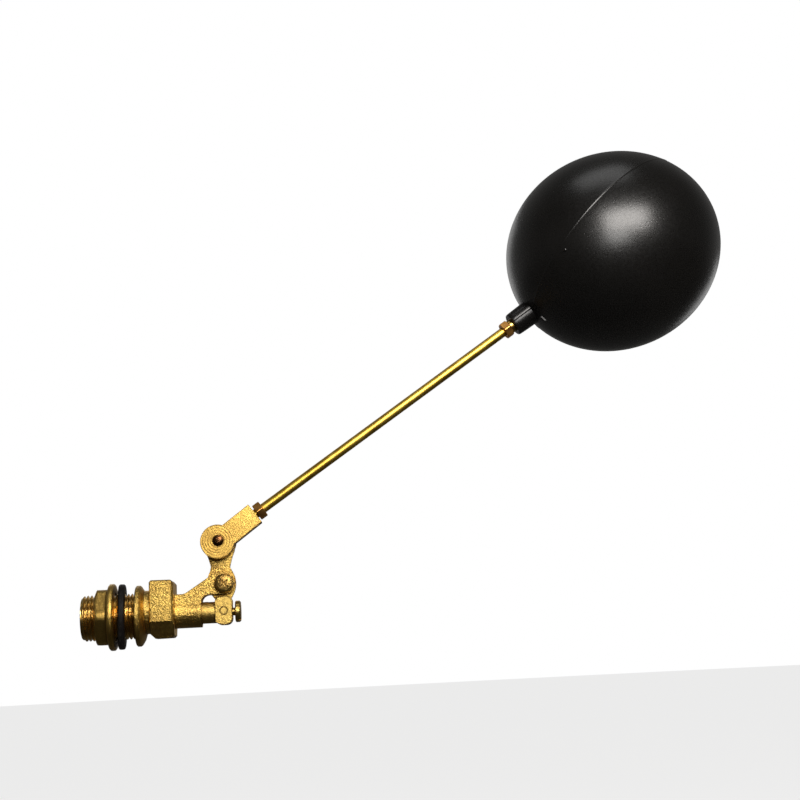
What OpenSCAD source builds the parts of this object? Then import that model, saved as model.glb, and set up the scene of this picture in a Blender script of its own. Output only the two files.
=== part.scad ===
// Small brass float valve with a hinged lever, a sliding plunger and a plastic ball float.
// The inlet pipe axis is X, water enters from -X, and the lever stands up along +Z.
// The origin is the centre of the body flange's sealing face, on the pipe axis.
// All sizes are millimetres.

/* [Inlet thread and flange] */
// Major diameter of the inlet thread (G 3/8)
thread_d = 16.662; // [16.4:0.001:16.662]
// Length of the threaded shank behind the flange
thread_len = 19.6; // [18:0.1:26]
// Diameter of the inlet bore
inlet_d = 10.2; // [8:0.1:11]
// Outside diameter of the body flange
flange_d = 22.2; // [20:0.1:26]
// Thickness of the flange rim
flange_t = 2.0; // [1.5:0.1:3]

/* [Backnut and sealing washer] */
// Backnut size across its flats
nut_af = 19.8; // [19:0.1:22]
// Backnut collar diameter
nut_collar_d = 24.3; // [23:0.1:26]
// Position of the nut's collar face on the pipe axis
nut_face_x = -7.6; // [-9:0.1:-7]
// Outside diameter of the rubber washer
washer_d = 23.8; // [22:0.1:26]
// Thickness of the rubber washer
washer_t = 2.5; // [2:0.1:3]
// Lean of the loose rubber washer on its thread
washer_lean = 4.0; // [0:0.5:5]

/* [Body casting] */
// Width across the wrench flats of the body block
block_w = 17.0; // [15:0.1:19]
// Height of the block above the pipe axis
block_top = 12.4; // [10:0.1:13]
// Depth of the block below the pipe axis
block_bottom = 8.6; // [7.6:0.1:9]
// Outside diameter of the plunger barrel
barrel_d = 10.5; // [9.9:0.1:11]
// End of the barrel on the pipe axis
barrel_end = 23.9; // [22:0.1:25]
// Distance over the outer faces of the two cheeks
cheek_w = 8.2; // [8.2:0.1:8.8]

/* [Mechanism] */
// Height of the lever pivot above the pipe axis
pivot_z = 10.2; // [10:0.1:10.6]
// Position of the lever pivot along the pipe axis
pivot_x = 32.4; // [32.3:0.1:32.6]
// Diameter of the plunger
plunger_d = 8.4; // [8.3:0.02:8.44]
// Angle of the float arm above the pipe axis
arm_angle = 34.2; // [20:0.1:50]
// Distance from the clamp bolt to the outer end of the arm block
block_len = 16.8; // [15:0.1:20]

/* [Float] */
// Distance from the clamp bolt to the float's end face, along the arm
float_start = 138.9; // [120:0.5:160]
// Distance from the clamp bolt to the centre of the ball
ball_dist = 189.0; // [170:0.5:210]
// Diameter of the ball across its short axis
ball_d = 77.0; // [70:0.5:90]
// Length of the ball along its long axis
ball_l = 84.4; // [74:0.2:96]
// Tilt of the ball's long axis below the arm
ball_tilt = 14.4; // [0:0.2:16]
// Wall thickness of the ball
ball_wall = 1.5; // [1.2:0.1:2.5]
// Diameter of the float rod
rod_d = 3.6; // [3.4:0.05:4]

/* [Hidden] */
$fn = 96;

brass_cast = "#d9b45a";
brass_bright = "#e6c46a";
brass_dark = "#8f6a34";
black = "#1b1b1c";

run = 0.05;             // radial clearance of a running fit
bore_d = plunger_d + 2 * run;
pin_x = 32.0;           // cross pin on the plunger, at rest
pin_z = 0.4;
pin_d = 1.6;
slot_w = 3.4;           // gap between the cheeks
lever_t = 3.0;
joint = [30.8, 0, 25.8];  // clamp bolt through lever and arm block
joint_r = 6.35;
arm_y = -4.5;           // plane of the float rod
arm_back = -1.6;        // rear face of the arm block
arm_front = -7.4;       // front face of the arm block
seat_x = 12.5;          // sealing lip of the nozzle
rubber_x = seat_x + 0.05;

// Points on a circle through three points, from a to c by way of b
function det3(a, b, c) = (b[0]-a[0])*(c[1]-a[1]) - (c[0]-a[0])*(b[1]-a[1]);
function centre3(a, b, c) =
    let (d = 2 * (a[0]*(b[1]-c[1]) + b[0]*(c[1]-a[1]) + c[0]*(a[1]-b[1])),
         aa = a*a, bb = b*b, cc = c*c)
    [(aa*(b[1]-c[1]) + bb*(c[1]-a[1]) + cc*(a[1]-b[1])) / d,
     (aa*(c[0]-b[0]) + bb*(a[0]-c[0]) + cc*(b[0]-a[0])) / d];
function wrap(a) = a - 360 * floor(a / 360);
function arc3(a, b, c, n = 8) =
    let (o = centre3(a, b, c), r = norm(a - o),
         t0 = atan2(a[1]-o[1], a[0]-o[0]), t1 = atan2(c[1]-o[1], c[0]-o[0]),
         sweep = det3(a, b, c) > 0 ? wrap(t1 - t0) : -wrap(t0 - t1))
    [for (i = [0:n]) o + r * [cos(t0 + sweep*i/n), sin(t0 + sweep*i/n)]];

// Extrude an outline drawn in the XZ plane from y0 to y1
module plate(y0, y1) {
    translate([0, y1, 0]) rotate([90, 0, 0]) linear_extrude(height = y1 - y0) children();
}
// Cylinder along X from x0 to x1
module xcyl(d, x0, x1) {
    translate([x0, 0, 0]) rotate([0, 90, 0]) cylinder(d = d, h = x1 - x0);
}
// Cylinder along Y from y0 to y1, through the point (x, z)
module ycyl(d, y0, y1, x, z) {
    translate([x, y1, z]) rotate([90, 0, 0]) cylinder(d = d, h = y1 - y0);
}
// Turn a profile of (x, radius) points about the X axis
module turned(p) {
    rotate([0, 90, 0]) rotate_extrude() polygon([for (q = p) [q[1], q[0]]]);
}
// Hexagonal prism along Z with turned end chamfers
module hexnut(af, h, corner_d, c, flat_up = false) {
    intersection() {
        rotate([0, 0, flat_up ? 0 : 30]) cylinder(d = af / cos(30), h = h, $fn = 6);
        rotate_extrude() polygon([[0, 0], [corner_d/2 - c, 0], [corner_d/2, c*0.58],
            [corner_d/2, h - c*0.58], [corner_d/2 - c, h], [0, h]]);
    }
}
// Places its children in the arm's own frame: +X along the arm from the clamp bolt
module on_arm() {
    translate(joint) rotate([0, -arm_angle, 0]) children();
}

module body() {
    color(brass_cast) difference() {
        union() {
            // threaded shank, drawn at the thread's major diameter
            turned([[-thread_len, 0], [-thread_len, thread_d/2 - 1.0],
                    [-thread_len + 1.0, thread_d/2], [0.3, thread_d/2],
                    [0.3, 0]]);
            // flange, its tapered back and the round neck
            turned([[0, 0], [0, flange_d/2 - 0.4], [0.4, flange_d/2],
                    [flange_t - 0.5, flange_d/2], [flange_t, flange_d/2 - 0.35],
                    [3.0, 9.2], [3.7, 7.0], [3.7, 0]]);
            // round neck, a little above the pipe axis
            translate([0, 0, 1.2]) turned([[1.0, 0], [1.0, 7.95], [6.4, 7.95], [6.4, 0]]);
            block();
            xcyl(barrel_d, 13.0, barrel_end);
            cheeks();
        }
        // inlet, nozzle seat and plunger bore
        xcyl(inlet_d, -thread_len - 1, 2.6);
        xcyl(6.0, 2, 10.4);
        xcyl(bore_d, 10.2, barrel_end + 1);
        // lead-in at the mouth of the inlet
        turned([[-thread_len - 0.1, 0], [-thread_len - 0.1, inlet_d/2 + 0.9],
                [-thread_len + 0.8, inlet_d/2], [-thread_len + 0.8, 0]]);
        // relief groove under the backnut, where the free end of the thread begins
        difference() {
            xcyl(thread_d + 2, nut_face_x - 7.0, nut_face_x - 6.35);
            xcyl(thread_d - 0.6, nut_face_x - 8, nut_face_x - 6);
        }
        // outlet between the cheeks, into the plunger bore
        translate([15.0, -slot_w/2, 0]) cube([6.0, slot_w, 9]);
        // pivot holes
        ycyl(4.1, -6, 6, pivot_x, pivot_z);
    }
}
// Wrench block: flat sides, a bevelled underside, chamfered ends
module block() {
    intersection() {
        translate([5.4, 0, 0]) rotate([90, 0, 90]) linear_extrude(height = 8.7)
            polygon([[-block_w/2, -2.6], [-block_w/2, block_top - 0.5],
                     [-block_w/2 + 0.5, block_top], [block_w/2 - 0.5, block_top],
                     [block_w/2, block_top - 0.5], [block_w/2, -2.6],
                     [4.7, -block_bottom], [-4.7, -block_bottom]]);
        plate(-12, 12) polygon([[5.4, -block_bottom + 1.7], [7.1, -block_bottom],
                     [13.4, -block_bottom + 0.1], [14.1, -block_bottom + 0.8],
                     [14.1, block_top - 1.2], [13.1, block_top - 0.1],
                     [6.1, block_top], [5.4, block_top - 0.8]]);
        translate([0, 0, -12]) linear_extrude(height = 28)
            polygon([[5.4, -block_w/2 + 0.3], [5.7, -block_w/2], [13.3, -block_w/2],
                     [14.1, -block_w/2 + 0.8], [14.1, block_w/2 - 0.8],
                     [13.3, block_w/2], [5.7, block_w/2], [5.4, block_w/2 - 0.3]]);
    }
}
// The pair of cheeks that carry the pivot
module cheeks() {
    for (s = [-1, 1]) {
        y0 = s < 0 ? -cheek_w/2 : slot_w/2;
        plate(y0, y0 + cheek_w/2 - slot_w/2) difference() {
            union() {
                polygon(concat(
                    [[13.2, 2.6], [13.2, 7.05], [16.9, 7.05]],
                    arc3([17.3, 7.1], [18.2, 7.4], [19.0, 7.85], 4),
                    arc3([28.2, 13.75], [29.9, 14.3], [31.8, 14.35], 5),
                    arc3([32.4, 14.3], [35.1, 13.1], [36.2, 10.3], 7),
                    arc3([36.1, 9.4], [35.0, 7.2], [32.6, 6.35], 6),
                    [[29.0, 6.5]],
                    arc3([26.6, 6.5], [24.6, 5.6], [23.9, 3.9], 6),
                    [[23.9, 2.6]]));
                translate([pivot_x, pivot_z]) circle(r = 3.8);
            }
        }
    }
}
module seat_nozzle() {
    color(brass_bright) difference() {
        turned([[2.7, 0], [2.7, 2.6], [3.1, 3.0], [10.2, 3.0], [10.2, 3.0],
                [10.9, 2.6], [11.4, 2.4], [12.1, 2.1], [seat_x, 1.95], [seat_x, 0]]);
        xcyl(2.8, 2, 14);
        turned([[2.6, 0], [2.6, 2.2], [3.6, 1.4], [3.6, 0]]);
    }
}
module backnut() {
    c0 = nut_face_x - 2.2;
    color(brass_cast) difference() {
        union() {
            translate([c0 - 4.5, 0, 0]) rotate([0, 90, 0])
                hexnut(nut_af, 4.8, 21.7, 1.1, false);
            turned([[c0, 0], [c0, nut_collar_d/2 - 0.5], [c0 + 0.5, nut_collar_d/2],
                    [nut_face_x - 0.4, nut_collar_d/2], [nut_face_x, nut_collar_d/2 - 0.4],
                    [nut_face_x, 0]]);
        }
        xcyl(thread_d + 2*run, c0 - 6, nut_face_x + 1);
        turned([[c0 - 4.6, 0], [c0 - 4.6, thread_d/2 + 0.7], [c0 - 3.8, thread_d/2 + run],
                [c0 - 3.8, 0]]);
        turned([[nut_face_x + 0.1, 0], [nut_face_x + 0.1, thread_d/2 + 0.6],
                [nut_face_x - 0.6, thread_d/2 + run], [nut_face_x - 0.6, 0]]);
    }
}
module sealing_washer() {
    x0 = nut_face_x + 1.1;
    h = washer_t / 2;
    color(black) translate([x0 + h, 0, 0]) rotate([0, 1, washer_lean]) difference() {
        turned([[-h, 0], [-h, washer_d/2 - 0.6], [-h + 0.2, washer_d/2 - 0.2],
                [-h + 0.5, washer_d/2], [h - 0.6, washer_d/2],
                [h - 0.2, washer_d/2 - 0.3], [h, washer_d/2 - 0.8], [h, 0]]);
        xcyl(17.6, -4, 4);
    }
}

// Head of the plunger, a rounded block in the XZ plane
module head_outline() {
    translate([pin_x - 0.05, pin_z]) {
        translate([-3.1 + 2.3, -2.8]) circle(r = 2.3);
        translate([3.1 - 2.3, -2.8]) circle(r = 2.3);
        translate([-3.1 + 1.7, 3.4]) circle(r = 1.7);
        translate([3.1 - 1.7, 3.4]) circle(r = 1.7);
        translate([-3.1, -2.8]) square([6.2, 6.2]);
        translate([-0.8, -5.1]) square([1.6, 10.2]);
        translate([-1.4, 0]) square([2.8, 5.1]);
    }
}
module plunger() {
    color(brass_bright) difference() {
        union() {
            // stem with a flat above and below for the water to pass
            intersection() {
                turned([[rubber_x + 0.3, 0], [rubber_x + 0.3, plunger_d/2 - 0.3],
                        [rubber_x + 0.6, plunger_d/2], [pin_x - 2.6, plunger_d/2],
                        [pin_x - 2.6, 0]]);
                translate([0, -10, -3.9]) cube([40, 20, 7.8]);
            }
            intersection() {
                plate(-4.6, 4.6) head_outline();
                // bevel round the two faces of the head
                translate([pin_x, 0, pin_z]) rotate([90, 0, 0]) rotate_extrude()
                    polygon([[0, -4.6], [5.0, -4.6], [5.9, -3.9], [5.9, 3.9], [5.0, 4.6], [0, 4.6]]);
            }
        }
        // pocket for the rubber disc
        xcyl(6.4, rubber_x - 1, rubber_x + 2.3);
        // slot for the lever's finger, open above
        translate([pin_x - 2.3, -1.75, pin_z - 2.6]) cube([4.6, 3.5, 8]);
        translate([pin_x - 5.9, -1.75, 2.6]) cube([9.9, 3.5, 6]);
        translate([pin_x - 2.8, -1.75, 0.2]) cube([3, 3.5, 6]);
        // hole for the cross pin, countersunk on both faces
        ycyl(pin_d, -6, 6, pin_x, pin_z);
        ycyl(2.9, -6, -4.0, pin_x, pin_z);
        ycyl(2.9, 4.0, 6, pin_x, pin_z);
        // hole for the end screw
        xcyl(2.4, pin_x + 2, pin_x + 4);
    }
}
module seat_washer() {
    color(black) turned([[rubber_x, 0], [rubber_x, 2.9], [rubber_x + 0.3, 3.2],
                         [rubber_x + 2.3, 3.2], [rubber_x + 2.3, 0]]);
}
module cross_pin() {
    color(brass_bright) {
        ycyl(pin_d, -4.0, 4.0, pin_x, pin_z);
        ycyl(2.6, -4.65, -4.0, pin_x, pin_z);
        ycyl(2.6, 4.0, 4.65, pin_x, pin_z);
    }
}
module end_screw() {
    x0 = pin_x + 2.35;
    color(brass_bright) difference() {
        turned([[x0, 0], [x0, 1.2], [x0 + 0.72, 1.2], [x0 + 0.72, 1.45],
                [x0 + 1.7, 1.45], [x0 + 1.7, 3.5], [x0 + 2.0, 3.95],
                [x0 + 3.3, 3.95], [x0 + 3.8, 3.4], [x0 + 3.8, 0]]);
        translate([x0 + 2.9, 0, 0]) rotate([55, 0, 0]) translate([0, -5, -0.5]) cube([2, 10, 1.0]);
    }
}

// Outline of the lever in the XZ plane: clamp disc, waist, hub and finger
module lever_outline() {
    difference() {
        union() {
            translate([joint[0], joint[2]]) circle(r = joint_r);
            polygon(concat(
                [[25.2, 22.6]],
                arc3([26.5, 20.4], [27.1, 18.4], [27.55, 16.7], 4),
                arc3([27.2, 15.0], [26.1, 10.9], [27.4, 6.6], 8),
                [[28.4, 5.2], [29.4, 4.1], [30.4, 3.6], [30.4, -1.2], [31.0, -1.8],
                 [32.9, -1.8], [33.5, -1.2], [33.5, 3.6], [34.5, 4.4]],
                arc3([35.6, 6.4], [36.6, 10.8], [35.4, 14.8], 8),
                arc3([34.55, 16.4], [35.0, 18.3], [35.6, 20.4], 4),
                [[36.5, 22.6]]));
        }
        // open slot that takes the cross pin
        translate([pin_x, pin_z]) rotate([0, 0, -2.3]) {
            translate([-pin_d/2 - 0.1, -6]) square([pin_d + 0.2, 6]);
            circle(d = pin_d + 0.2);
            translate([-pin_d/2 - 0.1, 0]) square([pin_d + 0.2, 0.6]);
        }
    }
}
module lever() {
    color(brass_cast) difference() {
        plate(-lever_t/2, lever_t/2) lever_outline();
        ycyl(4.0 + 2*run, -6, 6, pivot_x, pivot_z);
        ycyl(4.1, -6, 6, joint[0], joint[2]);
    }
}
module pivot_screw() {
    color(brass_dark) difference() {
        union() {
            ycyl(4.0, -4.2, 7.9, pivot_x, pivot_z);
            // pan head
            translate([pivot_x, -cheek_w/2, pivot_z]) rotate([90, 0, 0]) rotate_extrude()
                polygon([[0, 0], [3.55, 0], [3.55, 0.9], [3.3, 1.5], [2.7, 1.95], [1.6, 2.25], [0, 2.35]]);
        }
        // cross recess
        for (a = [40, 130]) translate([pivot_x, -cheek_w/2 - 1.3, pivot_z]) rotate([90, 0, 0])
            rotate([0, 0, a]) translate([-2.0, -0.35, 0]) cube([4.0, 0.7, 3]);
    }
}
module pivot_washer() {
    color(brass_bright) difference() {
        ycyl(8.0, cheek_w/2, cheek_w/2 + 0.7, pivot_x, pivot_z);
        ycyl(4.3, 0, 10, pivot_x, pivot_z);
    }
}
module pivot_nut() {
    color(brass_bright) difference() {
        translate([pivot_x, cheek_w/2 + 0.7, pivot_z]) rotate([-90, 0, 0]) hexnut(7, 2.4, 7.9, 0.5);
        ycyl(4.0, 0, 12, pivot_x, pivot_z);
    }
}
module arm_block() {
    color(brass_cast) on_arm() difference() {
        plate(arm_front, arm_back) union() {
            translate([-0.45, -0.1]) circle(r = joint_r - 0.1);
            // square arm that takes the rod, leaning up a little from the rod's line
            translate([block_len, 0.1]) rotate([0, 0, 2.3])
                translate([-block_len, -4.05]) square([block_len, 8.1]);
        }
        ycyl(4.0 + 2*run, arm_front - 2, arm_back + 2, 0, 0);
        translate([0, arm_y, 0]) xcyl(rod_d, 5.5, block_len + 1);
    }
}
module clamp_bolt() {
    color(brass_dark) {
        translate([joint[0], 0, joint[2]]) rotate([90, 0, 0]) rotate_extrude()
            polygon([[0, -2.6], [2.0, -2.6], [2.0, 7.7], [1.75, 8.1], [1.2, 8.4], [0, 8.55]]);
        translate([joint[0], 2.4, joint[2]]) rotate([-90, 0, 0]) hexnut(7, 2.8, 7.9, 0.5);
    }
}
module clamp_washer() {
    color(brass_bright) difference() {
        ycyl(8.2, 1.5, 2.4, joint[0], joint[2]);
        ycyl(4.3, 0, 10, joint[0], joint[2]);
    }
}
module locknut(x) {
    difference() {
        translate([x, arm_y, 0]) rotate([0, 90, 0]) hexnut(6, 2.8, 6.8, 0.4, false);
        translate([0, arm_y, 0]) xcyl(rod_d, x - 1, x + 4);
    }
}
module inner_locknut() { color(brass_bright) on_arm() locknut(block_len + 0.7); }
module outer_locknut() { color(brass_bright) on_arm() locknut(float_start - 4.4); }
module float_rod() {
    color(brass_bright) on_arm() translate([0, arm_y, 0])
        turned([[6.2, 0], [6.2, rod_d/2 - 0.5], [6.7, rod_d/2], [float_start + 7.3, rod_d/2],
                [float_start + 7.8, rod_d/2 - 0.5], [float_start + 7.8, 0]]);
}
module float_insert() {
    color(brass_bright) on_arm() translate([0, arm_y, 0]) difference() {
        turned([[float_start - 1.5, 0], [float_start - 1.5, 2.4], [float_start - 1.3, 2.6],
                [float_start, 2.6], [float_start, 2.9], [float_start + 8.6, 2.9],
                [float_start + 8.6, 0]]);
        xcyl(rod_d, float_start - 3, float_start + 7.8);
    }
}
// Half profile of the ball, as (along its long axis, radius)
function ball_profile(a, b, n = 40) = [for (i = [0:n]) [-a*cos(180*i/n), b*sin(180*i/n)]];
module float_ball() {
    color(black) on_arm() translate([0, arm_y, 0]) difference() {
        union() {
            translate([ball_dist, 0, 0]) rotate([0, ball_tilt, 0])
                turned(ball_profile(ball_l/2, ball_d/2));
            // moulded neck round the insert
            turned([[float_start, 0], [float_start, 4.3], [float_start + 0.4, 4.5],
                    [float_start + 5.5, 4.8], [float_start + 7.5, 5.4], [float_start + 9.5, 6.8],
                    [float_start + 14, 9.0], [float_start + 14, 0]]);
        }
        difference() {
            translate([ball_dist, 0, 0]) rotate([0, ball_tilt, 0])
                turned(ball_profile(ball_l/2 - ball_wall, ball_d/2 - ball_wall));
            xcyl(13, float_start, float_start + 15);
        }
        xcyl(5.8, float_start - 2, float_start + 8.6);
    }
}

body();
seat_nozzle();
backnut();
sealing_washer();
plunger();
seat_washer();
cross_pin();
end_screw();
lever();
pivot_screw();
pivot_washer();
pivot_nut();
arm_block();
clamp_bolt();
clamp_washer();
inner_locknut();
float_rod();
outer_locknut();
float_ball();
float_insert();
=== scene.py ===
import math

import bmesh
import bpy
from mathutils import Matrix, Vector


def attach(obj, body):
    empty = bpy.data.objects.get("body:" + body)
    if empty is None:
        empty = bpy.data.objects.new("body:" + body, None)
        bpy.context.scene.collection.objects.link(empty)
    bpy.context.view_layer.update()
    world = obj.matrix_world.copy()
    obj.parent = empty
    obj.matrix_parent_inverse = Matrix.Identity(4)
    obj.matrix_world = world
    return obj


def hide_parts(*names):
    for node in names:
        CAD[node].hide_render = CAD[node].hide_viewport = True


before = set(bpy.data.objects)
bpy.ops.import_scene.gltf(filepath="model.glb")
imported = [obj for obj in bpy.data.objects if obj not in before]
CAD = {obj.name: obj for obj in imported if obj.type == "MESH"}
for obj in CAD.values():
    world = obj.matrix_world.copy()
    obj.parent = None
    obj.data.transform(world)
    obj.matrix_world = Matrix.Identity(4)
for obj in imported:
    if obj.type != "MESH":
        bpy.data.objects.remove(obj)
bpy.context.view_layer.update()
MM = 0.001

# ---------------------------------------------------------------- camera
scene = bpy.context.scene
cam_data = bpy.data.cameras.new("camera")
cam = bpy.data.objects.new("camera", cam_data)
scene.collection.objects.link(cam)
scene.camera = cam
cam_data.sensor_fit = "HORIZONTAL"
cam_data.sensor_width = 36.0
cam_data.lens = 63.0
cam_data.clip_start, cam_data.clip_end = 0.01, 60.0
AZ, EL, ROLL = math.radians(4.234), math.radians(10.622), math.radians(-2.978)
look = Vector((math.sin(AZ) * math.cos(EL), math.cos(AZ) * math.cos(EL), math.sin(EL)))
right0 = look.cross(Vector((0, 0, 1))).normalized()
up0 = right0.cross(look)
right = right0 * math.cos(ROLL) + up0 * math.sin(ROLL)
up = up0 * math.cos(ROLL) - right0 * math.sin(ROLL)
turn = Matrix((right, up, -look)).transposed()
cam.matrix_world = Matrix.Translation(Vector((62.12, -525.79, -21.79)) * MM) @ turn.to_4x4()

scene.view_settings.view_transform = "Standard"
scene.view_settings.look = "None"

# ---------------------------------------------------------------- studio
world = bpy.data.worlds.new("studio")
scene.world = world
world.use_nodes = True
wt = world.node_tree
wt.nodes.clear()


def wnode(kind, **values):
    n = wt.nodes.new(kind)
    for k, v in values.items():
        setattr(n, k, v)
    return n


def ramp(n, stops):
    e = n.color_ramp.elements
    while len(e) > 1:
        e.remove(e[-1])
    for i, (p, c) in enumerate(stops):
        c = (c, c, c, 1) if isinstance(c, (int, float)) else (*c, 1)
        if i == 0:
            e[0].position, e[0].color = p, c
        else:
            e.new(p).color = c


# Around the object: a dim room, darkest below, a little lighter behind it.
w_dir = wnode("ShaderNodeTexCoord")
w_xyz = wnode("ShaderNodeSeparateXYZ")
w_up = wnode("ShaderNodeMapRange")
w_up.inputs["From Min"].default_value = -1
w_band = wnode("ShaderNodeValToRGB")
ramp(w_band, [(0.0, 0.015), (0.30, 0.02), (0.44, 0.03), (0.52, 0.08), (0.62, 0.08),
              (0.80, 0.06), (1.0, 0.05)])
w_side = wnode("ShaderNodeMapRange", interpolation_type="SMOOTHSTEP")
w_side.inputs["From Min"].default_value = 0.35
w_side.inputs["From Max"].default_value = 0.95
w_side.inputs["To Min"].default_value = 1.0
w_side.inputs["To Max"].default_value = 0.85
w_mul = wnode("ShaderNodeMath", operation="MULTIPLY")
w_mul2 = wnode("ShaderNodeMath", operation="MULTIPLY")
w_back = wnode("ShaderNodeMapRange", interpolation_type="SMOOTHSTEP")
w_back.inputs["From Min"].default_value = 0.0
w_back.inputs["From Max"].default_value = 0.8
w_back.inputs["To Min"].default_value = 1.0
w_back.inputs["To Max"].default_value = 2.6
w_dim = wnode("ShaderNodeBackground")
w_dim.inputs["Color"].default_value = (1.0, 0.985, 0.96, 1)
w_white = wnode("ShaderNodeBackground")
w_white.inputs["Color"].default_value = (1, 1, 1, 1)
w_white.inputs["Strength"].default_value = 1.0
w_ray = wnode("ShaderNodeLightPath")
w_mix = wnode("ShaderNodeMixShader")
w_out = wnode("ShaderNodeOutputWorld")
L = wt.links.new
L(w_dir.outputs["Generated"], w_xyz.inputs[0])
L(w_xyz.outputs["Z"], w_up.inputs["Value"])
L(w_up.outputs[0], w_band.inputs[0])
L(w_xyz.outputs["X"], w_side.inputs["Value"])
L(w_band.outputs[0], w_mul.inputs[0])
L(w_side.outputs[0], w_mul.inputs[1])
L(w_xyz.outputs["Y"], w_back.inputs["Value"])
L(w_mul.outputs[0], w_mul2.inputs[0])
L(w_back.outputs[0], w_mul2.inputs[1])
L(w_mul2.outputs[0], w_dim.inputs["Strength"])
L(w_ray.outputs["Is Camera Ray"], w_mix.inputs[0])
L(w_dim.outputs[0], w_mix.inputs[1])
L(w_white.outputs[0], w_mix.inputs[2])
L(w_mix.outputs[0], w_out.inputs[0])


def softbox(name, place, target, size_x, size_y, power, colour=(1, 1, 1), spread=math.pi):
    d = bpy.data.lights.new(name, "AREA")
    d.shape = "RECTANGLE"
    d.size, d.size_y = size_x, size_y
    d.energy = power
    d.color = colour
    d.spread = spread
    o = bpy.data.objects.new(name, d)
    scene.collection.objects.link(o)
    o.location = place
    o.rotation_mode = "QUATERNION"
    o.rotation_quaternion = (Vector(target) - Vector(place)).to_track_quat("-Z", "Y")
    o.visible_camera = False
    return o


softbox("key", (0.222, -0.385, 0.272), (0.187, -0.004, 0.132), 0.29, 0.16, 2.2, (1.0, 0.96, 0.92))
softbox("front", (0.14, -0.72, 0.15), (0.03, 0, 0.02), 0.27, 0.15, 1.1, (1.0, 0.985, 0.96))
softbox("top", (0.12, -0.12, 0.80), (0.12, 0, 0.05), 0.42, 0.30, 0.6)
softbox("back_left", (-0.14, 1.02, 0.42), (0.16, 0, 0.12), 0.50, 0.55, 0.6)
softbox("back_right", (0.70, 0.64, 0.10), (0.16, 0, 0.10), 0.25, 0.30, 0.2)

floor_mesh = bpy.data.meshes.new("floor")
bm = bmesh.new()
bmesh.ops.create_circle(bm, cap_ends=True, segments=96, radius=14.0)
bm.to_mesh(floor_mesh)
bm.free()
floor = bpy.data.objects.new("floor", floor_mesh)
scene.collection.objects.link(floor)
floor.location = (0, 0, -0.24)
floor.visible_glossy = False
fm = bpy.data.materials.new("floor")
fm.use_nodes = True
fb = fm.node_tree.nodes["Principled BSDF"]
fb.inputs["Base Color"].default_value = (0.9, 0.9, 0.9, 1)
fb.inputs["Roughness"].default_value = 0.9
fb.inputs["Emission Color"].default_value = (1, 1, 1, 1)
fb.inputs["Emission Strength"].default_value = 0.75
floor_mesh.materials.append(fm)


# ---------------------------------------------------------------- materials
class Graph:
    def __init__(self, name):
        self.m = bpy.data.materials.new(name)
        self.m.use_nodes = True
        self.t = self.m.node_tree
        self.b = self.t.nodes["Principled BSDF"]
        self.coord = self.t.nodes.new("ShaderNodeTexCoord").outputs["Object"]

    def new(self, kind, **values):
        n = self.t.nodes.new(kind)
        for k, v in values.items():
            setattr(n, k, v)
        return n

    def link(self, a, b):
        self.t.links.new(a, b)

    def scaled(self, vector, scale):
        n = self.new("ShaderNodeVectorMath", operation="MULTIPLY")
        n.inputs[1].default_value = scale
        self.link(vector, n.inputs[0])
        return n.outputs[0]

    def noise(self, scale, detail=3.0, rough=0.55, vector=None, distortion=0.0):
        n = self.new("ShaderNodeTexNoise")
        n.inputs["Scale"].default_value = scale
        n.inputs["Detail"].default_value = detail
        n.inputs["Roughness"].default_value = rough
        n.inputs["Distortion"].default_value = distortion
        self.link(vector or self.coord, n.inputs["Vector"])
        return n.outputs["Fac"]

    def voronoi(self, scale, vector=None, feature="F1"):
        n = self.new("ShaderNodeTexVoronoi", feature=feature)
        n.inputs["Scale"].default_value = scale
        self.link(vector or self.coord, n.inputs["Vector"])
        return n.outputs["Distance"]

    def span(self, value, a, b, c=0.0, d=1.0):
        n = self.new("ShaderNodeMapRange")
        n.inputs["From Min"].default_value = a
        n.inputs["From Max"].default_value = b
        n.inputs["To Min"].default_value = c
        n.inputs["To Max"].default_value = d
        self.link(value, n.inputs["Value"])
        return n.outputs[0]

    def math(self, op, a, b=None):
        n = self.new("ShaderNodeMath", operation=op)
        for i, x in enumerate((a, b)):
            if x is None:
                continue
            if isinstance(x, (int, float)):
                n.inputs[i].default_value = x
            else:
                self.link(x, n.inputs[i])
        return n.outputs[0]

    def mix(self, fac, a, b):
        n = self.new("ShaderNodeMix", data_type="RGBA")
        for x, socket in ((fac, n.inputs["Factor"]), (a, n.inputs[6]), (b, n.inputs[7])):
            if isinstance(x, (int, float)):
                socket.default_value = x
            elif isinstance(x, (tuple, list)):
                socket.default_value = (*x, 1)
            else:
                self.link(x, socket)
        return n.outputs[2]

    def cavity(self, distance, inside=False):
        n = self.new("ShaderNodeAmbientOcclusion", samples=8, inside=inside)
        n.inputs["Distance"].default_value = distance
        return n.outputs["AO"]

    def bump(self, height, distance, strength=1.0, normal=None):
        n = self.new("ShaderNodeBump")
        n.inputs["Strength"].default_value = strength
        n.inputs["Distance"].default_value = distance
        self.link(height, n.inputs["Height"])
        if normal is not None:
            self.link(normal, n.inputs["Normal"])
        return n.outputs[0]

    def rounded(self, radius):
        n = self.new("ShaderNodeBevel", samples=6)
        n.inputs["Radius"].default_value = radius
        return n.outputs[0]

    def put(self, name, value):
        s = self.b.inputs[name]
        if isinstance(value, (int, float)):
            s.default_value = value
        elif isinstance(value, (tuple, list)):
            s.default_value = (*value, 1)
        else:
            self.link(value, s)


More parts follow.
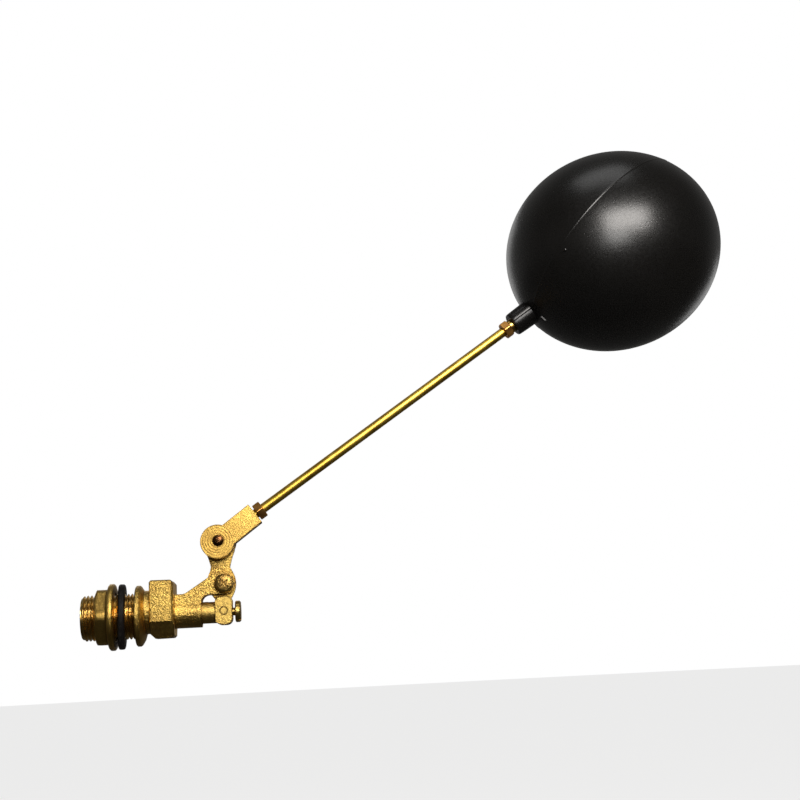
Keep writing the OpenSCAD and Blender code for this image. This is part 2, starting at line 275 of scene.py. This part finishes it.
def brass(name, light, dark, rough_low, rough_high, grain, grain_size, cavity=1.2,
          grime_and_shade=(0.085, 0.040, 0.012), blotch=90.0, mottle=0.30, rings=None,
          edge_dark=0.80, soft_edge=0.0):
    """Brass with a sand-cast or faced skin: a worm-like grain, blotches of tarnish, grime and painted shade in the
    corners,
          and painted shade along the edges. rings is the centre of faint turning rings on a faced disc."""
    g = Graph(name)
    tone = g.noise(blotch, 4.0, 0.62)
    fine = g.noise(1.0 / grain_size, 3.0, 0.6)
    worm = g.noise(0.55 / grain_size, 2.0, 0.5, distortion=1.6)
    worm = g.math("ABSOLUTE", g.math("SUBTRACT", worm, 0.5))
    worm = g.span(worm, 0.0, 0.11)
    pits = g.voronoi(0.8 / grain_size)
    colour = g.mix(g.span(tone, 0.34, 0.68), dark, light)
    colour = g.mix(g.math("MULTIPLY", g.math("SUBTRACT", 1.0, worm), mottle), colour, dark)
    colour = g.mix(g.span(fine, 0.30, 0.46, 0.45, 0.0), colour, dark)
    # corners and hollows found by ambient occlusion are darkened: partly grime, partly painted shade
    ao = g.cavity(cavity * MM)
    colour = g.mix(g.span(ao, 0.35, 0.88, 0.92, 0.0), colour, grime_and_shade)
    # painted shade along the edges: where the rounded normal turns off the true normal, the colour is darkened
    # towards the same dark colour
    if edge_dark:
        turn_off = g.new("ShaderNodeVectorMath", operation="DOT_PRODUCT")
        g.link(g.rounded(0.75 * MM), turn_off.inputs[0])
        g.link(g.new("ShaderNodeNewGeometry").outputs["Normal"], turn_off.inputs[1])
        colour = g.mix(g.span(turn_off.outputs["Value"], 0.992, 0.92, 0.0, edge_dark), colour, grime_and_shade)
    soft = g.rounded(soft_edge * MM) if soft_edge else None
    g.put("Base Color", colour)
    g.put("Metallic", 1.0)
    g.put("Roughness", g.span(fine, 0.25, 0.75, rough_low, rough_high))
    height = g.math("ADD", g.math("ADD", fine, g.math("MULTIPLY", worm, 0.35)), g.math("MULTIPLY", pits, 0.35))
    g.put("Normal", g.bump(height, grain * MM, 1.0, soft))
    if rings is not None:
        off = g.new("ShaderNodeVectorMath", operation="SUBTRACT")
        off.inputs[1].default_value = tuple(c * MM for c in rings)
        g.link(g.coord, off.inputs[0])
        flat = g.new("ShaderNodeVectorMath", operation="MULTIPLY")
        flat.inputs[1].default_value = (1, 0, 1)
        g.link(off.outputs[0], flat.inputs[0])
        far = g.new("ShaderNodeVectorMath", operation="LENGTH")
        g.link(flat.outputs[0], far.inputs[0])
        wave = g.math("SINE", g.math("MULTIPLY", far.outputs["Value"], 2 * math.pi / (0.95 * MM)))
        near = g.span(far.outputs["Value"], 6.0 * MM, 6.3 * MM, 1.0, 0.0)
        colour = g.mix(g.math("MULTIPLY", g.span(wave, -0.2, 1.0, 0.0, 0.24), near), colour, dark)
        g.put("Base Color", colour)
        height = g.math("ADD", height, g.math("MULTIPLY", g.math("MULTIPLY", wave, near), 0.22))
        g.put("Normal", g.bump(height, grain * MM, 1.0))
    return g.m


def turned_brass(name, light, dark, rough, pitch, depth, axis, cavity=0.8,
                 grime_and_shade=(0.09, 0.05, 0.016), dirt_and_shade=0.85):
    """Brass with the fine rings of a lathe tool about one axis."""
    g = Graph(name)
    stretch = {"X": (1.0 / pitch, 40.0, 40.0), "Y": (40.0, 1.0 / pitch, 40.0),
               "Z": (40.0, 40.0, 1.0 / pitch)}[axis]
    rings = g.noise(1.0, 2.0, 0.6, vector=g.scaled(g.coord, stretch))
    tone = g.noise(160.0, 4.0, 0.6)
    fine = g.noise(2400.0, 2.0, 0.5)
    colour = g.mix(g.span(tone, 0.38, 0.68), dark, light)
    # thread roots and corners found by ambient occlusion are darkened: partly grime, partly painted shade
    ao = g.cavity(cavity * MM)
    colour = g.mix(g.span(ao, 0.35, 0.85, dirt_and_shade, 0.0), colour, grime_and_shade)
    g.put("Base Color", colour)
    g.put("Metallic", 1.0)
    g.put("Roughness", g.span(tone, 0.3, 0.7, rough - 0.05, rough + 0.07))
    height = g.math("ADD", rings, g.math("MULTIPLY", fine, 0.25))
    g.put("Normal", g.bump(height, depth * MM, 1.0))
    return g.m


def rubber_material():
    g = Graph("black_rubber")
    grain = g.noise(2600.0, 3.0, 0.6)
    dust = g.noise(700.0, 4.0, 0.65)
    g.put("Base Color", g.mix(g.span(dust, 0.56, 0.76), (0.0045, 0.0035, 0.0030), (0.020, 0.016, 0.012)))
    g.put("Roughness", g.span(grain, 0.3, 0.7, 0.42, 0.60))
    g.put("Specular IOR Level", 0.16)
    g.put("Normal", g.bump(grain, 0.06 * MM, 0.9))
    return g.m


def plastic_material():
    g = Graph("black_polyethylene")
    soft = g.noise(38.0, 2.0, 0.5)
    peel = g.noise(1250.0, 2.0, 0.55)
    specks = g.noise(950.0, 4.0, 0.7)
    mist = g.noise(28.0, 4.0, 0.6)
    g.put("Base Color", g.mix(g.span(mist, 0.35, 0.70), (0.0020, 0.0018, 0.0016), (0.0036, 0.0032, 0.0028)))
    g.put("Roughness", g.span(specks, 0.35, 0.66, 0.25, 0.34))
    height = g.math("ADD", g.math("MULTIPLY", soft, 0.7), g.math("MULTIPLY", peel, 0.20))
    pock = g.math("MULTIPLY", g.span(specks, 0.30, 0.42, -0.14, 0.0), 1.0)
    g.put("Normal", g.bump(g.math("ADD", height, pock), 0.10 * MM, 1.0))
    return g.m


GOLD = (0.90, 0.615, 0.150)
GOLD_DEEP = (0.58, 0.350, 0.085)
M_CAST = brass("cast_brass", GOLD, GOLD_DEEP, 0.28, 0.42, 0.105, 0.66 * MM, mottle=0.46, cavity=1.0, edge_dark=0.65)
M_ARM = brass("arm_brass", (0.82, 0.555, 0.130), (0.56, 0.340, 0.080), 0.34, 0.48, 0.055, 0.62 * MM, mottle=0.30, rings=(30.35, 0, 25.7))
M_FACE = brass("faced_brass", (0.84, 0.58, 0.15), (0.60, 0.38, 0.10), 0.34, 0.46, 0.06, 0.60 * MM)
M_SCREW = brass("screw_brass", (0.84, 0.57, 0.15), (0.40, 0.22, 0.06), 0.28, 0.42, 0.09, 0.60 * MM, cavity=0.7, edge_dark=0.30)
M_TURNED = turned_brass("turned_brass", (0.84, 0.59, 0.17), (0.60, 0.37, 0.09), 0.24, 0.12 * MM, 0.012, "X")
M_BACKNUT = brass("backnut_brass", GOLD, GOLD_DEEP, 0.26, 0.38, 0.06, 0.62 * MM, mottle=0.40, edge_dark=0.0,
                  soft_edge=1.3)
M_THREAD = turned_brass("thread_brass", (0.93, 0.68, 0.25), (0.70, 0.45, 0.13), 0.22, 0.20 * MM, 0.006, "X", cavity=0.25,
                        grime_and_shade=(0.20, 0.10, 0.03), dirt_and_shade=0.45)
M_ROD = turned_brass("rod_brass", (0.97, 0.66, 0.12), (0.82, 0.50, 0.07), 0.36, 3.0 * MM, 0.004, "Y",
                     grime_and_shade=(0.30, 0.09, 0.012), dirt_and_shade=0.5)
M_NUT = turned_brass("locknut_brass", (0.95, 0.52, 0.14), (0.70, 0.32, 0.08), 0.36, 0.3 * MM, 0.015, "X", cavity=0.25,
                     grime_and_shade=(0.05, 0.02, 0.006))
M_DARK = brass("dark_brass", (0.36, 0.17, 0.055), (0.14, 0.06, 0.022), 0.18, 0.30, 0.03, 0.40 * MM,
               grime_and_shade=(0.04, 0.014, 0.006))
M_RUBBER = rubber_material()
M_PLASTIC = plastic_material()


def dress(o, material):
    o.data.materials.clear()
    o.data.materials.append(material)


# ---------------------------------------------------------------- modifiers for the CAD nodes
def smooth_group():
    """Weld the vertices, then shade smooth except over edges sharper than 28 degrees."""
    t = bpy.data.node_groups.new("weld_and_smooth", "GeometryNodeTree")
    t.interface.new_socket("Geometry", in_out="INPUT", socket_type="NodeSocketGeometry")
    t.interface.new_socket("Geometry", in_out="OUTPUT", socket_type="NodeSocketGeometry")
    i, o = t.nodes.new("NodeGroupInput"), t.nodes.new("NodeGroupOutput")
    weld = t.nodes.new("GeometryNodeMergeByDistance")
    weld.inputs["Distance"].default_value = 1e-6
    face = t.nodes.new("GeometryNodeSetShadeSmooth")
    face.domain = "FACE"
    face.inputs["Shade Smooth"].default_value = True
    edge = t.nodes.new("GeometryNodeSetShadeSmooth")
    edge.domain = "EDGE"
    angle = t.nodes.new("GeometryNodeInputMeshEdgeAngle")
    less = t.nodes.new("FunctionNodeCompare")
    less.data_type, less.operation = "FLOAT", "LESS_THAN"
    less.inputs[1].default_value = math.radians(28)
    t.links.new(i.outputs[0], weld.inputs["Geometry"])
    t.links.new(weld.outputs[0], face.inputs["Geometry"])
    t.links.new(face.outputs[0], edge.inputs["Geometry"])
    t.links.new(angle.outputs["Unsigned Angle"], less.inputs[0])
    t.links.new(less.outputs[0], edge.inputs["Shade Smooth"])
    t.links.new(edge.outputs[0], o.inputs[0])
    return t


WELD = smooth_group()


def finish_edges(o, width, segments=3, angle=32):
    g = o.modifiers.new("weld", "NODES")
    g.node_group = WELD
    if width:
        b = o.modifiers.new("edge", "BEVEL")
        b.width = width * MM
        b.segments = segments
        b.limit_method = "ANGLE"
        b.angle_limit = math.radians(angle)
        b.harden_normals = False
        b.use_clamp_overlap = True
        b.miter_outer = "MITER_ARC"
        w = o.modifiers.new("weighted", "WEIGHTED_NORMAL")
        w.keep_sharp = True
        w.weight = 70


# ---------------------------------------------------------------- new pieces
def make(name, verts, faces, material, body, smooth=True):
    me = bpy.data.meshes.new(name)
    me.from_pydata([tuple(c * MM for c in v) for v in verts], [], faces)
    me.update()
    o = bpy.data.objects.new(name, me)
    scene.collection.objects.link(o)
    me.materials.append(material)
    if smooth:
        me.polygons.foreach_set("use_smooth", [True] * len(me.polygons))
    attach(o, body)
    return o


# The inlet shank with its real helical thread, 19 threads an inch, 55 degrees
PITCH, CREST, ROOT = 25.4 / 19, 8.331, 7.475


def thread_height(u):
    """Whitworth profile over one pitch, u from 0 to 1: 1 at the crest, 0 at the root, both rounded."""
    t = abs(((u + 0.5) % 1.0) - 0.5) * 2.0
    lin = 1.0 - (t - 0.17) / 0.66
    k = 0.16
    lin = min(max(lin, -0.3), 1.3)
    # rounded at both ends
    if lin > 1 - k:
        lin = 1 - k + k * math.tanh((lin - 1 + k) / k)
    if lin < k:
        lin = k - k * math.tanh((k - lin) / k)
    return lin


def shank():
    x0, x1 = -19.6, 0.4
    per_turn, per_pitch = 120, 14
    n = int((x1 - x0) / PITCH * per_pitch)
    verts, faces = [], []
    for i in range(n + 1):
        x = x0 + (x1 - x0) * i / n
        lead = min(1.0, (x - x0 + 0.15) / 1.15)
        for k in range(per_turn):
            a = 2 * math.pi * k / per_turn
            h = thread_height(x / PITCH - k / per_turn + 0.35)
            r = ROOT + (CREST - ROOT) * h
            r = min(r, ROOT - 0.15 + (CREST - ROOT + 0.15) * lead)
            verts.append((x, r * math.cos(a), r * math.sin(a)))
    for i in range(n):
        for k in range(per_turn):
            a, b = i * per_turn + k, i * per_turn + (k + 1) % per_turn
            faces.append((a, b, b + per_turn, a + per_turn))
    # end face, lead-in and bore, back to the inner end
    rings = [(x0, 7.05), (x0 - 0.0, 6.2), (x0 + 0.08, 6.0), (x0 + 0.8, 5.15), (x0 + 0.95, 5.1), (x1, 5.1), (x1, 7.0)]
    base = [0]
    for x, r in rings:
        base.append(len(verts))
        for k in range(per_turn):
            a = 2 * math.pi * k / per_turn
            verts.append((x, r * math.cos(a), r * math.sin(a)))
    order = base + [n * per_turn]
    for p, q in zip(order, order[1:]):
        for k in range(per_turn):
            a, b = p + k, p + (k + 1) % per_turn
            c, d = q + (k + 1) % per_turn, q + k
            faces.append((b, a, d, c))
    return make("inlet_shank", verts, faces, M_THREAD, "valve_body")


shank_piece = shank()


def body_casting():
    """The body casting: the CAD body from its flange face on, with the shank cut off at that face."""
    src = CAD["body"].data
    bm = bmesh.new()
    bm.from_mesh(src)
    bmesh.ops.remove_doubles(bm, verts=bm.verts, dist=1e-6)
    cut = bmesh.ops.bisect_plane(bm, geom=bm.verts[:] + bm.edges[:] + bm.faces[:], dist=1e-7,
                                 plane_co=(0.02 * MM, 0, 0), plane_no=(1, 0, 0), clear_inner=True)
    rim = [e for e in cut["geom_cut"] if isinstance(e, bmesh.types.BMEdge)]
    bmesh.ops.triangle_fill(bm, use_beauty=True, edges=rim, normal=(-1, 0, 0))
    bmesh.ops.recalc_face_normals(bm, faces=bm.faces)
    bmesh.ops.dissolve_limit(bm, angle_limit=math.radians(0.3), verts=bm.verts, edges=bm.edges)
    me = bpy.data.meshes.new("body_casting")
    bm.to_mesh(me)
    bm.free()
    o = bpy.data.objects.new("body_casting", me)
    scene.collection.objects.link(o)
    me.materials.append(M_CAST)
    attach(o, "valve_body")
    return o


casting = body_casting()
finish_edges(casting, 0.22)
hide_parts("body")

# ---------------------------------------------------------------- float ball
ARM = math.radians(34.2)
JOINT = Vector((30.8, 0, 25.8))
ALONG = Vector((math.cos(ARM), 0, math.sin(ARM)))
ARM_Y = -4.5
TILT = math.radians(14.4)
BALL = JOINT + ALONG * 189.0 + Vector((0, ARM_Y, 0))


def arm_point(d, y, z):
    """A point in the arm's own frame, d along the arm from the clamp bolt."""
    side = Vector((-math.sin(ARM), 0, math.cos(ARM)))
    return JOINT + ALONG * d + Vector((0, y, 0)) + side * z


def ball_radius(u):
    """Distance from the ball's centre to its surface along u: an ellipsoid, long axis tilted off the arm."""
    axis = Vector((math.cos(ARM - TILT), 0, math.sin(ARM - TILT)))
    c = u.dot(axis)
    return 1.0 / math.sqrt((c / 42.2) ** 2 + (1 - c * c) / 38.5 ** 2)


def ball_normal(p):
    axis = Vector((math.cos(ARM - TILT), 0, math.sin(ARM - TILT)))
    c = p.dot(axis)
    return (axis * (c / 42.2 ** 2) + (p - axis * c) / 38.5 ** 2).normalized()


def ball():
    """The moulded ball: rings about the normal of its parting plane, close together at the seam."""
    n = Vector((0.6549, -0.3058, -0.6911)).normalized()
    seam = -4.22
    e1 = n.orthogonal().normalized()
    e2 = n.cross(e1)
    per_ring = 180

    def polar(theta, k):
        a = 2 * math.pi * k / per_ring
        return n * math.cos(theta) + (e1 * math.cos(a) + e2 * math.sin(a)) * math.sin(theta)

    centre = math.acos(seam / 40.0)
    thetas = [math.pi * i / 84 for i in range(1, 84)]
    thetas = [t for t in thetas if abs(t - centre) > 0.062]
    thetas += [centre + d / 40.0 for d in
               (-2.2, -1.9, -1.6, -1.35, -1.1, -0.9, -0.72, -0.56, -0.42, -0.3, -0.2, -0.1, 0.0,
                0.1, 0.2, 0.3, 0.42, 0.56, 0.72, 0.9, 1.1, 1.35, 1.6, 1.9, 2.2)]
    thetas.sort()
    verts, faces = [], []
    for t in thetas:
        for k in range(per_ring):
            u = polar(t, k)
            p = u * ball_radius(u)
            off = p.dot(n) - seam
            # the flash line, a little step between the two halves, fading on the far side of the neck
            rise = 0.085 * math.exp(-(off / 0.26) ** 2) + 0.05 / (1.0 + math.exp(off / 0.12)) * math.exp(-(off / 1.6) ** 2)
            verts.append(BALL + p + ball_normal(p) * rise)
    top, bottom = len(verts), len(verts) + 1
    verts.append(BALL + n * ball_radius(n))
    verts.append(BALL - n * ball_radius(-n))
    rows, m = len(thetas), per_ring
    for i in range(rows - 1):
        for k in range(m):
            a, b = i * m + k, i * m + (k + 1) % m
            faces.append((a, a + m, b + m, b))
    for k in range(m):
        faces.append((top, k, (k + 1) % m))
        faces.append((bottom, (rows - 1) * m + (k + 1) % m, (rows - 1) * m + k))
    return make("float_ball_shell", verts, faces, M_PLASTIC, "arm")


def neck_boss():
    """The neck that holds the threaded insert, with the raised flash rib along its upper front."""
    side = Vector((-math.sin(ARM), 0, math.cos(ARM)))
    front = Vector((0, -1, 0))
    profile = [(36.0, 0.0), (36.0, 4.95), (38.6, 4.92), (39.4, 4.86), (42.0, 4.78), (45.0, 4.70), (48.6, 4.58),
               (49.6, 4.52), (49.95, 4.40), (50.1, 4.15), (50.1, 3.6), (50.1, 0.0)]
    view = math.radians(-6.2)
    lo, hi = view + math.radians(12.5), view + math.radians(35.5)
    angles = [math.radians(x) for x in range(0, 360, 4)]
    for edge in (lo, hi):
        angles += [edge + math.radians(d) for d in (-2.6, -1.3, 0.0, 1.3, 2.6)]
    angles = sorted(set(round(a % (2 * math.pi), 5) for a in angles))
    verts, faces = [], []
    m = len(angles)
    for d, r in profile[1:-1]:
        for a in angles:
            w = 1.0 / (1.0 + math.exp(-(a - lo) / 0.014)) if a < (lo + hi) / 2 else 1.0 / (1.0 + math.exp((a - hi) / 0.014))
            q = r + (0.28 * w if r > 4.3 else 0.0)
            verts.append(BALL - ALONG * d + (front * math.cos(a) + side * math.sin(a)) * q)
    rows = len(profile) - 2
    inner, outer = len(verts), len(verts) + 1
    verts.append(BALL - ALONG * profile[0][0])
    verts.append(BALL - ALONG * profile[-1][0])
    for i in range(rows - 1):
        for k in range(m):
            a, b = i * m + k, i * m + (k + 1) % m
            faces.append((a, a + m, b + m, b))
    for k in range(m):
        faces.append((inner, k, (k + 1) % m))
        faces.append((outer, (rows - 1) * m + (k + 1) % m, (rows - 1) * m + k))
    return make("float_ball_neck", verts, faces, M_PLASTIC, "arm")


def gate_pip(name, at, radius, height, sides=32, turn=0.0, sharp=False):
    """A small moulding mark standing on the ball: a low dome, or a flat-topped figure."""
    u = Vector(at).normalized()
    p = u * ball_radius(u)
    n = ball_normal(p)
    e1 = n.cross(Vector((0, 1, 0))).normalized()
    e2 = n.cross(e1)
    rings = [(radius * 1.05, -0.25), (radius, 0.0), (radius * 0.94, height * 0.45), (radius * 0.80, height * 0.82),
             (radius * 0.5, height)]
    if sharp:
        rings = [(radius * 1.06, -0.25), (radius, 0.02), (radius * 0.86, height), (radius * 0.4, height)]
    verts, faces = [], []
    for r, h in rings:
        for k in range(sides):
            a = 2 * math.pi * k / sides + turn
            verts.append(BALL + p + n * h + (e1 * math.cos(a) + e2 * math.sin(a)) * r)
    low, top = len(verts), len(verts) + 1
    verts.append(BALL + p - n * 0.25)
    verts.append(BALL + p + n * height)
    for i in range(len(rings) - 1):
        for k in range(sides):
            a, b = i * sides + k, i * sides + (k + 1) % sides
            faces.append((a, b, b + sides, a + sides))
    for k in range(sides):
        faces.append((low, (k + 1) % sides, k))
        faces.append((top, (len(rings) - 1) * sides + k, (len(rings) - 1) * sides + (k + 1) % sides))
    return make(name, verts, faces, M_PLASTIC, "arm", smooth=not sharp)


ball_piece = ball()
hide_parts("float_ball")
neck_piece = neck_boss()
finish_edges(neck_piece, 0.0)
pip_piece = gate_pip("float_ball_pip", (-24.93, -30.26, -7.69), 0.70, 0.50)
mark_piece = gate_pip("float_ball_mark", (-30.39, -6.55, -27.51), 1.35, 0.55, sides=3, turn=0.5, sharp=True)

# ---------------------------------------------------------------- CAD nodes that stay
for name, material, width in (
        ("seat_nozzle", M_TURNED, 0.1), ("backnut", M_BACKNUT, 0.3), ("sealing_washer", M_RUBBER, 0.2),
        ("plunger", M_FACE, 0.2), ("seat_washer", M_RUBBER, 0.1), ("cross_pin", M_FACE, 0.12),
        ("end_screw", M_TURNED, 0.1), ("lever", M_CAST, 0.2), ("pivot_screw", M_SCREW, 0.15),
        ("pivot_washer", M_TURNED, 0.1), ("pivot_nut", M_TURNED, 0.1), ("arm_block", M_ARM, 0.22),
        ("clamp_bolt", M_DARK, 0.12), ("clamp_washer", M_TURNED, 0.1), ("inner_locknut", M_NUT, 0.1),
        ("float_rod", M_ROD, 0.0), ("outer_locknut", M_NUT, 0.1), ("float_insert", M_TURNED, 0.1)):
    dress(CAD[name], material)
    finish_edges(CAD[name], width)
